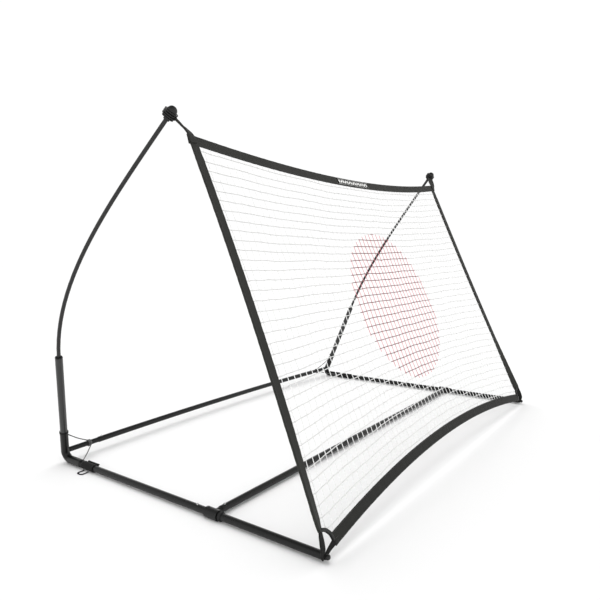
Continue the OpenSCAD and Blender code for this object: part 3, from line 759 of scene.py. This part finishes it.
for side, word in ((-1, "left"), (1, "right")):
    # The bound edge of the cut-out
    b = Build()
    arc = [net_point(side * (NET_FOOT + CORNER_R * math.cos(a)), FOOT_END_V + CORNER_R * math.sin(a), 0.0003)
           for a in [math.radians(lerp(84, 184, i / 30)) for i in range(31)]]
    b.tape(arc, NET_N, 0.0085, 0.0056, ripple=0.0006)
    for i in range(1, 30):
        d = (arc[i + 1] - arc[i - 1]).normalized()
        across = d.cross(NET_N).normalized()
        for up in (1, -1):
            b.bead(arc[i] + NET_N * (0.0028 * up), (across + d * 0.5).normalized(), d, NET_N * up,
                   (0.0068, 0.0010, 0.0006), 1)
    b.done(f"corner_edge_{word}", [WEB_DARK, THREAD], (f"{word}_corner_binding",), body="root")

    # The two strands that go down to the plug's neck, and round it
    b = Build()
    loop = [NECK + Vector((math.cos(a), 0, math.sin(a))) * NECK_RING_R for a in
            [math.tau * i / 24 for i in range(24)]]
    b.tape([flip(p, side) for p in loop], [flip((p - NECK).normalized(), side) for p in loop],
           NECK_RING_W, NECK_RING_T, closed=True)
    hem_end = net_point(FOOT_END - 0.002, FOOT_END_V - 0.005, -0.0005)
    legs = [
        ([net_point(side_x(0.075), 0.075), net_point(side_x(0.045), 0.045), net_point(NET_FOOT + 0.001, 0.018),
          NECK + Vector((0.0085, -0.0005, 0.018)), NECK + Vector((0.0072, 0, 0.004)),
          NECK + Vector((0.005, 0, -0.0055))],
         [0.018, 0.016, 0.0135, 0.0160, 0.0150, 0.0110] if side < 0 else
         [0.021, 0.022, 0.023, 0.022, 0.0160, 0.0090],
         [leg_normal(i / 40, side) for i in range(41)]),
        ([net_point(FOOT_END - 0.030, FOOT_END_V - 0.001, -0.001), hem_end,
          lerp(hem_end, NECK, 0.4) + Vector((0, 0, 0.001)), NECK + Vector((-0.0080, -0.0010, 0.0045)),
          NECK + Vector((-0.0045, 0, -0.0058))],
         [0.018, 0.0165, 0.0130, 0.0095, 0.0080], NET_N),
    ]
    for pts, widths, nrm in legs:
        path = smooth_path([flip(p, side) for p in pts], 40)

        def width(f, w=widths):
            g = f * (len(w) - 1)
            k = min(len(w) - 2, int(g))
            return lerp(w[k], w[k + 1], g - k)

        b.tape(path, nrm, width, 0.0036, ripple=0.0003)
        for off in (-0.0036, 0.0036):
            stitches(b, path[2:16], NET_N, off, 0.0019, 1, 0.0032)
    b.done(f"lower_strap_{word}", [WEB_DARK, THREAD], (f"{word}_lower_loop",), body="root")

    # The strap that holds the net's top corner to the rod's cap
    b = Build()
    ring = []
    for i in range(40):
        a = math.tau * i / 40
        ring.append(TIP @ Vector((CAP_RING_R * math.cos(a), CAP_RING_R * math.sin(a), CAP_GROOVE)))
    hub = TIP @ Vector((0, 0, CAP_GROOVE))
    b.tape([flip(p, side) for p in ring], [flip((p - hub).normalized(), side) for p in ring],
           0.0025, 0.0030, closed=True)
    corner_v = top_v(NET_TOP)
    tip_axis = (TIP.to_3x3() @ Vector((0, 0, 1))).normalized()
    drop = (net_point(NET_TOP, corner_v + 0.03) - hub).normalized()
    drop = (drop - tip_axis * drop.dot(tip_axis)).normalized()
    corner = net_point(NET_TOP + 0.003, corner_v - 0.010, 0.0030)
    lip = net_point(NET_TOP + 0.007, corner_v + 0.013, 0.0042)
    pts = [hub + drop * 0.0125, hub + drop * 0.0165, lerp(hub + drop * 0.0165, lip, 0.5), lip, corner]
    path = smooth_path([flip(p, side) for p in pts], 48)
    nrm = []
    for i, d in enumerate(tangents(path)):
        wide = lerp(flip(STRAP_START, side), ACROSS * -side, max(0, min(1, (i - 16) / 26)))
        nrm.append(d.cross(wide).normalized() * side)
    b.tape(path, nrm, lambda f: 0.0110 + 0.0090 * math.sin(math.pi * f) ** 0.8 + 0.0070 * f,
           lambda f: 0.0070 - 0.0036 * f, ripple=0.0004, phase=side)
    for off in (-0.0042, 0.0042):
        stitches(b, path[38:48], NET_N, off, 0.0018, 1, 0.0032, both=False)
    b.done(f"top_strap_web_{word}", [WEB, THREAD], (f"{word}_top_strap",), body=f"{word}_bow")

# ---------------------------------------------------------------- tethers

TETHER_R, KNOT_R = 0.0017, 0.0014
TETHER_TURNS, TETHER_STEPS = 3.25, 65

for side, word in ((-1, "left"), (1, "right")):
    b = Build()
    kx = HALF_W - 0.083
    k = rear_line(kx)
    r = SPIGOT_D / 2 + 0.0016
    top = UPRIGHT @ Vector((-ELBOW_D / 2 + 0.001, 0, 0.088))
    low = Vector((HALF_W - ELBOW_D / 2 + 0.001, Y_REAR - 0.080, TUBE_Z + 0.003))
    coil = []
    for i in range(TETHER_STEPS + 1):
        a = math.pi / 2 + math.tau * TETHER_TURNS * i / TETHER_STEPS
        coil.append(k + Vector((0.0042 - 0.0088 * i / TETHER_STEPS, math.cos(a) * r, math.sin(a) * r)))
    sag = Vector((0, 0, -0.0025))
    path = smooth_path([top, lerp(top, coil[0], 0.5) + sag, coil[0]], 24)[:-1] + coil
    path += smooth_path([coil[-1], lerp(coil[-1], low, 0.5) + sag, low], 24)[1:]
    b.cord([flip(p, side) for p in path], TETHER_R, 10)
    for i in range(2):
        ring = [k + Vector((-0.001 + 0.0022 * math.sin(a * 2 + i), -r - 0.0012 + 0.0026 * math.cos(a),
                            0.0034 * math.sin(a) - 0.001)) for a in [math.tau * q / 20 for q in range(20)]]
        b.cord([flip(p, side) for p in ring], KNOT_R, 8, closed=True)
    b.done(f"tether_cord_{word}", [ELASTIC], (f"{word}_tether",), body="root")

# ---------------------------------------------------------------- peg straps

BAND_W, BAND_T, BAND_SEAM = 0.060, 0.0014, 0.026
PEG_LOOP_HALF, PEG_LOOP_Z = 0.0115, 0.0018

for side, word in ((-1, "left"), (1, "right")):
    b = Build()
    y = Y_REAR - 0.134
    r = TUBE_D / 2 + 0.0012
    centre = Vector((HALF_W, y, TUBE_Z))
    wrap = []
    for i in range(49):
        a = math.radians(lerp(-70, 378, i / 48))
        rr = r + 0.0011 * i / 48
        wrap.append(centre + Vector((math.cos(a) * rr * -1, 0, math.sin(a) * rr)))
    tail = centre + Vector((-0.0165, 0, 0.0085))
    path = wrap + smooth_path([wrap[-1], wrap[-1] + Vector((-0.004, 0, 0.004)), tail], 8)[1:]
    nrm = [(p - centre).normalized() for p in path]
    b.tape([flip(p, side) for p in path], [flip(q, side) for q in nrm], BAND_W, BAND_T, ripple=0.0001)
    # The loop for the peg lies on the ground
    half = [Vector((0.762, 0.011, 0.0030)), Vector((0.770, PEG_LOOP_HALF, PEG_LOOP_Z)),
            Vector((0.783, 0.0112, PEG_LOOP_Z)), Vector((0.7865, 0.006, PEG_LOOP_Z))]
    loop = [Vector((p.x, y + p.y, p.z)) for p in half] + [Vector((0.7868, y, PEG_LOOP_Z))]
    loop += [Vector((p.x, y - p.y, p.z)) for p in reversed(half)]
    path = smooth_path(loop, 44)
    b.tape([flip(p, side) for p in path], Vector((0, 0, 1)), 0.0036, 0.0021)
    for off in (-BAND_SEAM, BAND_SEAM):
        lane = [centre + Vector((-math.cos(a) * (r + 0.0012), off, math.sin(a) * (r + 0.0012)))
                for a in [math.radians(lerp(20, 160, i / 12)) for i in range(13)]]
        for i in range(1, 12):
            d = (lane[i + 1] - lane[i - 1]).normalized()
            up = (lane[i] - centre - Vector((0, off, 0))).normalized()
            b.bead(flip(lane[i], side), flip(d, side), Vector((0, 1, 0)), flip(up, side),
                   (0.0022, 0.0008, 0.0005), 1)
    b.done(f"peg_strap_web_{word}", [WEB_DARK, THREAD], (f"{word}_peg_strap",), body="root")

# ---------------------------------------------------------------- floor and light

# The sky's strength at its lower and its upper edge: just over 1 where the camera sees it
SKY_LOW, SKY_HIGH = 1.03, 0.22
SKY_FADE = (0.42, 0.9)
AIM = Vector((0, 0, 0.3))

floor_m = Nodes("floor", (0.72, 0.72, 0.72), 0.9, Specular_IOR_Level=0.0)
bpy.ops.mesh.primitive_plane_add(size=60, location=(0, 0, 0))
floor = bpy.context.object
floor.name = "floor"
floor.data.materials.append(floor_m.m)

world = bpy.data.worlds.new("studio")
world.use_nodes = True
tree = world.node_tree
sky = tree.nodes["Background"]
height = tree.nodes.new("ShaderNodeSeparateXYZ")
tree.links.new(tree.nodes.new("ShaderNodeTexCoord").outputs["Generated"], height.inputs[0])
softbox = tree.nodes.new("ShaderNodeMapRange")
softbox.interpolation_type = "SMOOTHSTEP"
for key, value in zip(("From Min", "From Max", "To Min", "To Max"), (*SKY_FADE, SKY_LOW, SKY_HIGH)):
    softbox.inputs[key].default_value = value
tree.links.new(height.outputs["Z"], softbox.inputs["Value"])
tree.links.new(softbox.outputs["Result"], sky.inputs["Strength"])
sky.inputs["Color"].default_value = (1, 1, 1, 1)
bpy.context.scene.world = world


def light(name, kind, energy, place, **values):
    """A lamp aimed at the middle of the object. It doesn't show in glossy reflections."""
    lamp = bpy.data.objects.new(name, bpy.data.lights.new(name, kind))
    lamp.data.energy = energy
    for key, value in values.items():
        setattr(lamp.data, key, value)
    lamp.location = place
    lamp.rotation_euler = (AIM - Vector(place)).to_track_quat("-Z", "Y").to_euler()
    lamp.visible_glossy = False
    bpy.context.scene.collection.objects.link(lamp)


light("overhead", "SUN", 2.45, (0.9, 1.1, 3.6), angle=1.2)
light("front", "SUN", 1.3, (-2.2, -2.2, 1.7), angle=1.5)
bpy.context.scene.view_settings.view_transform = "Standard"
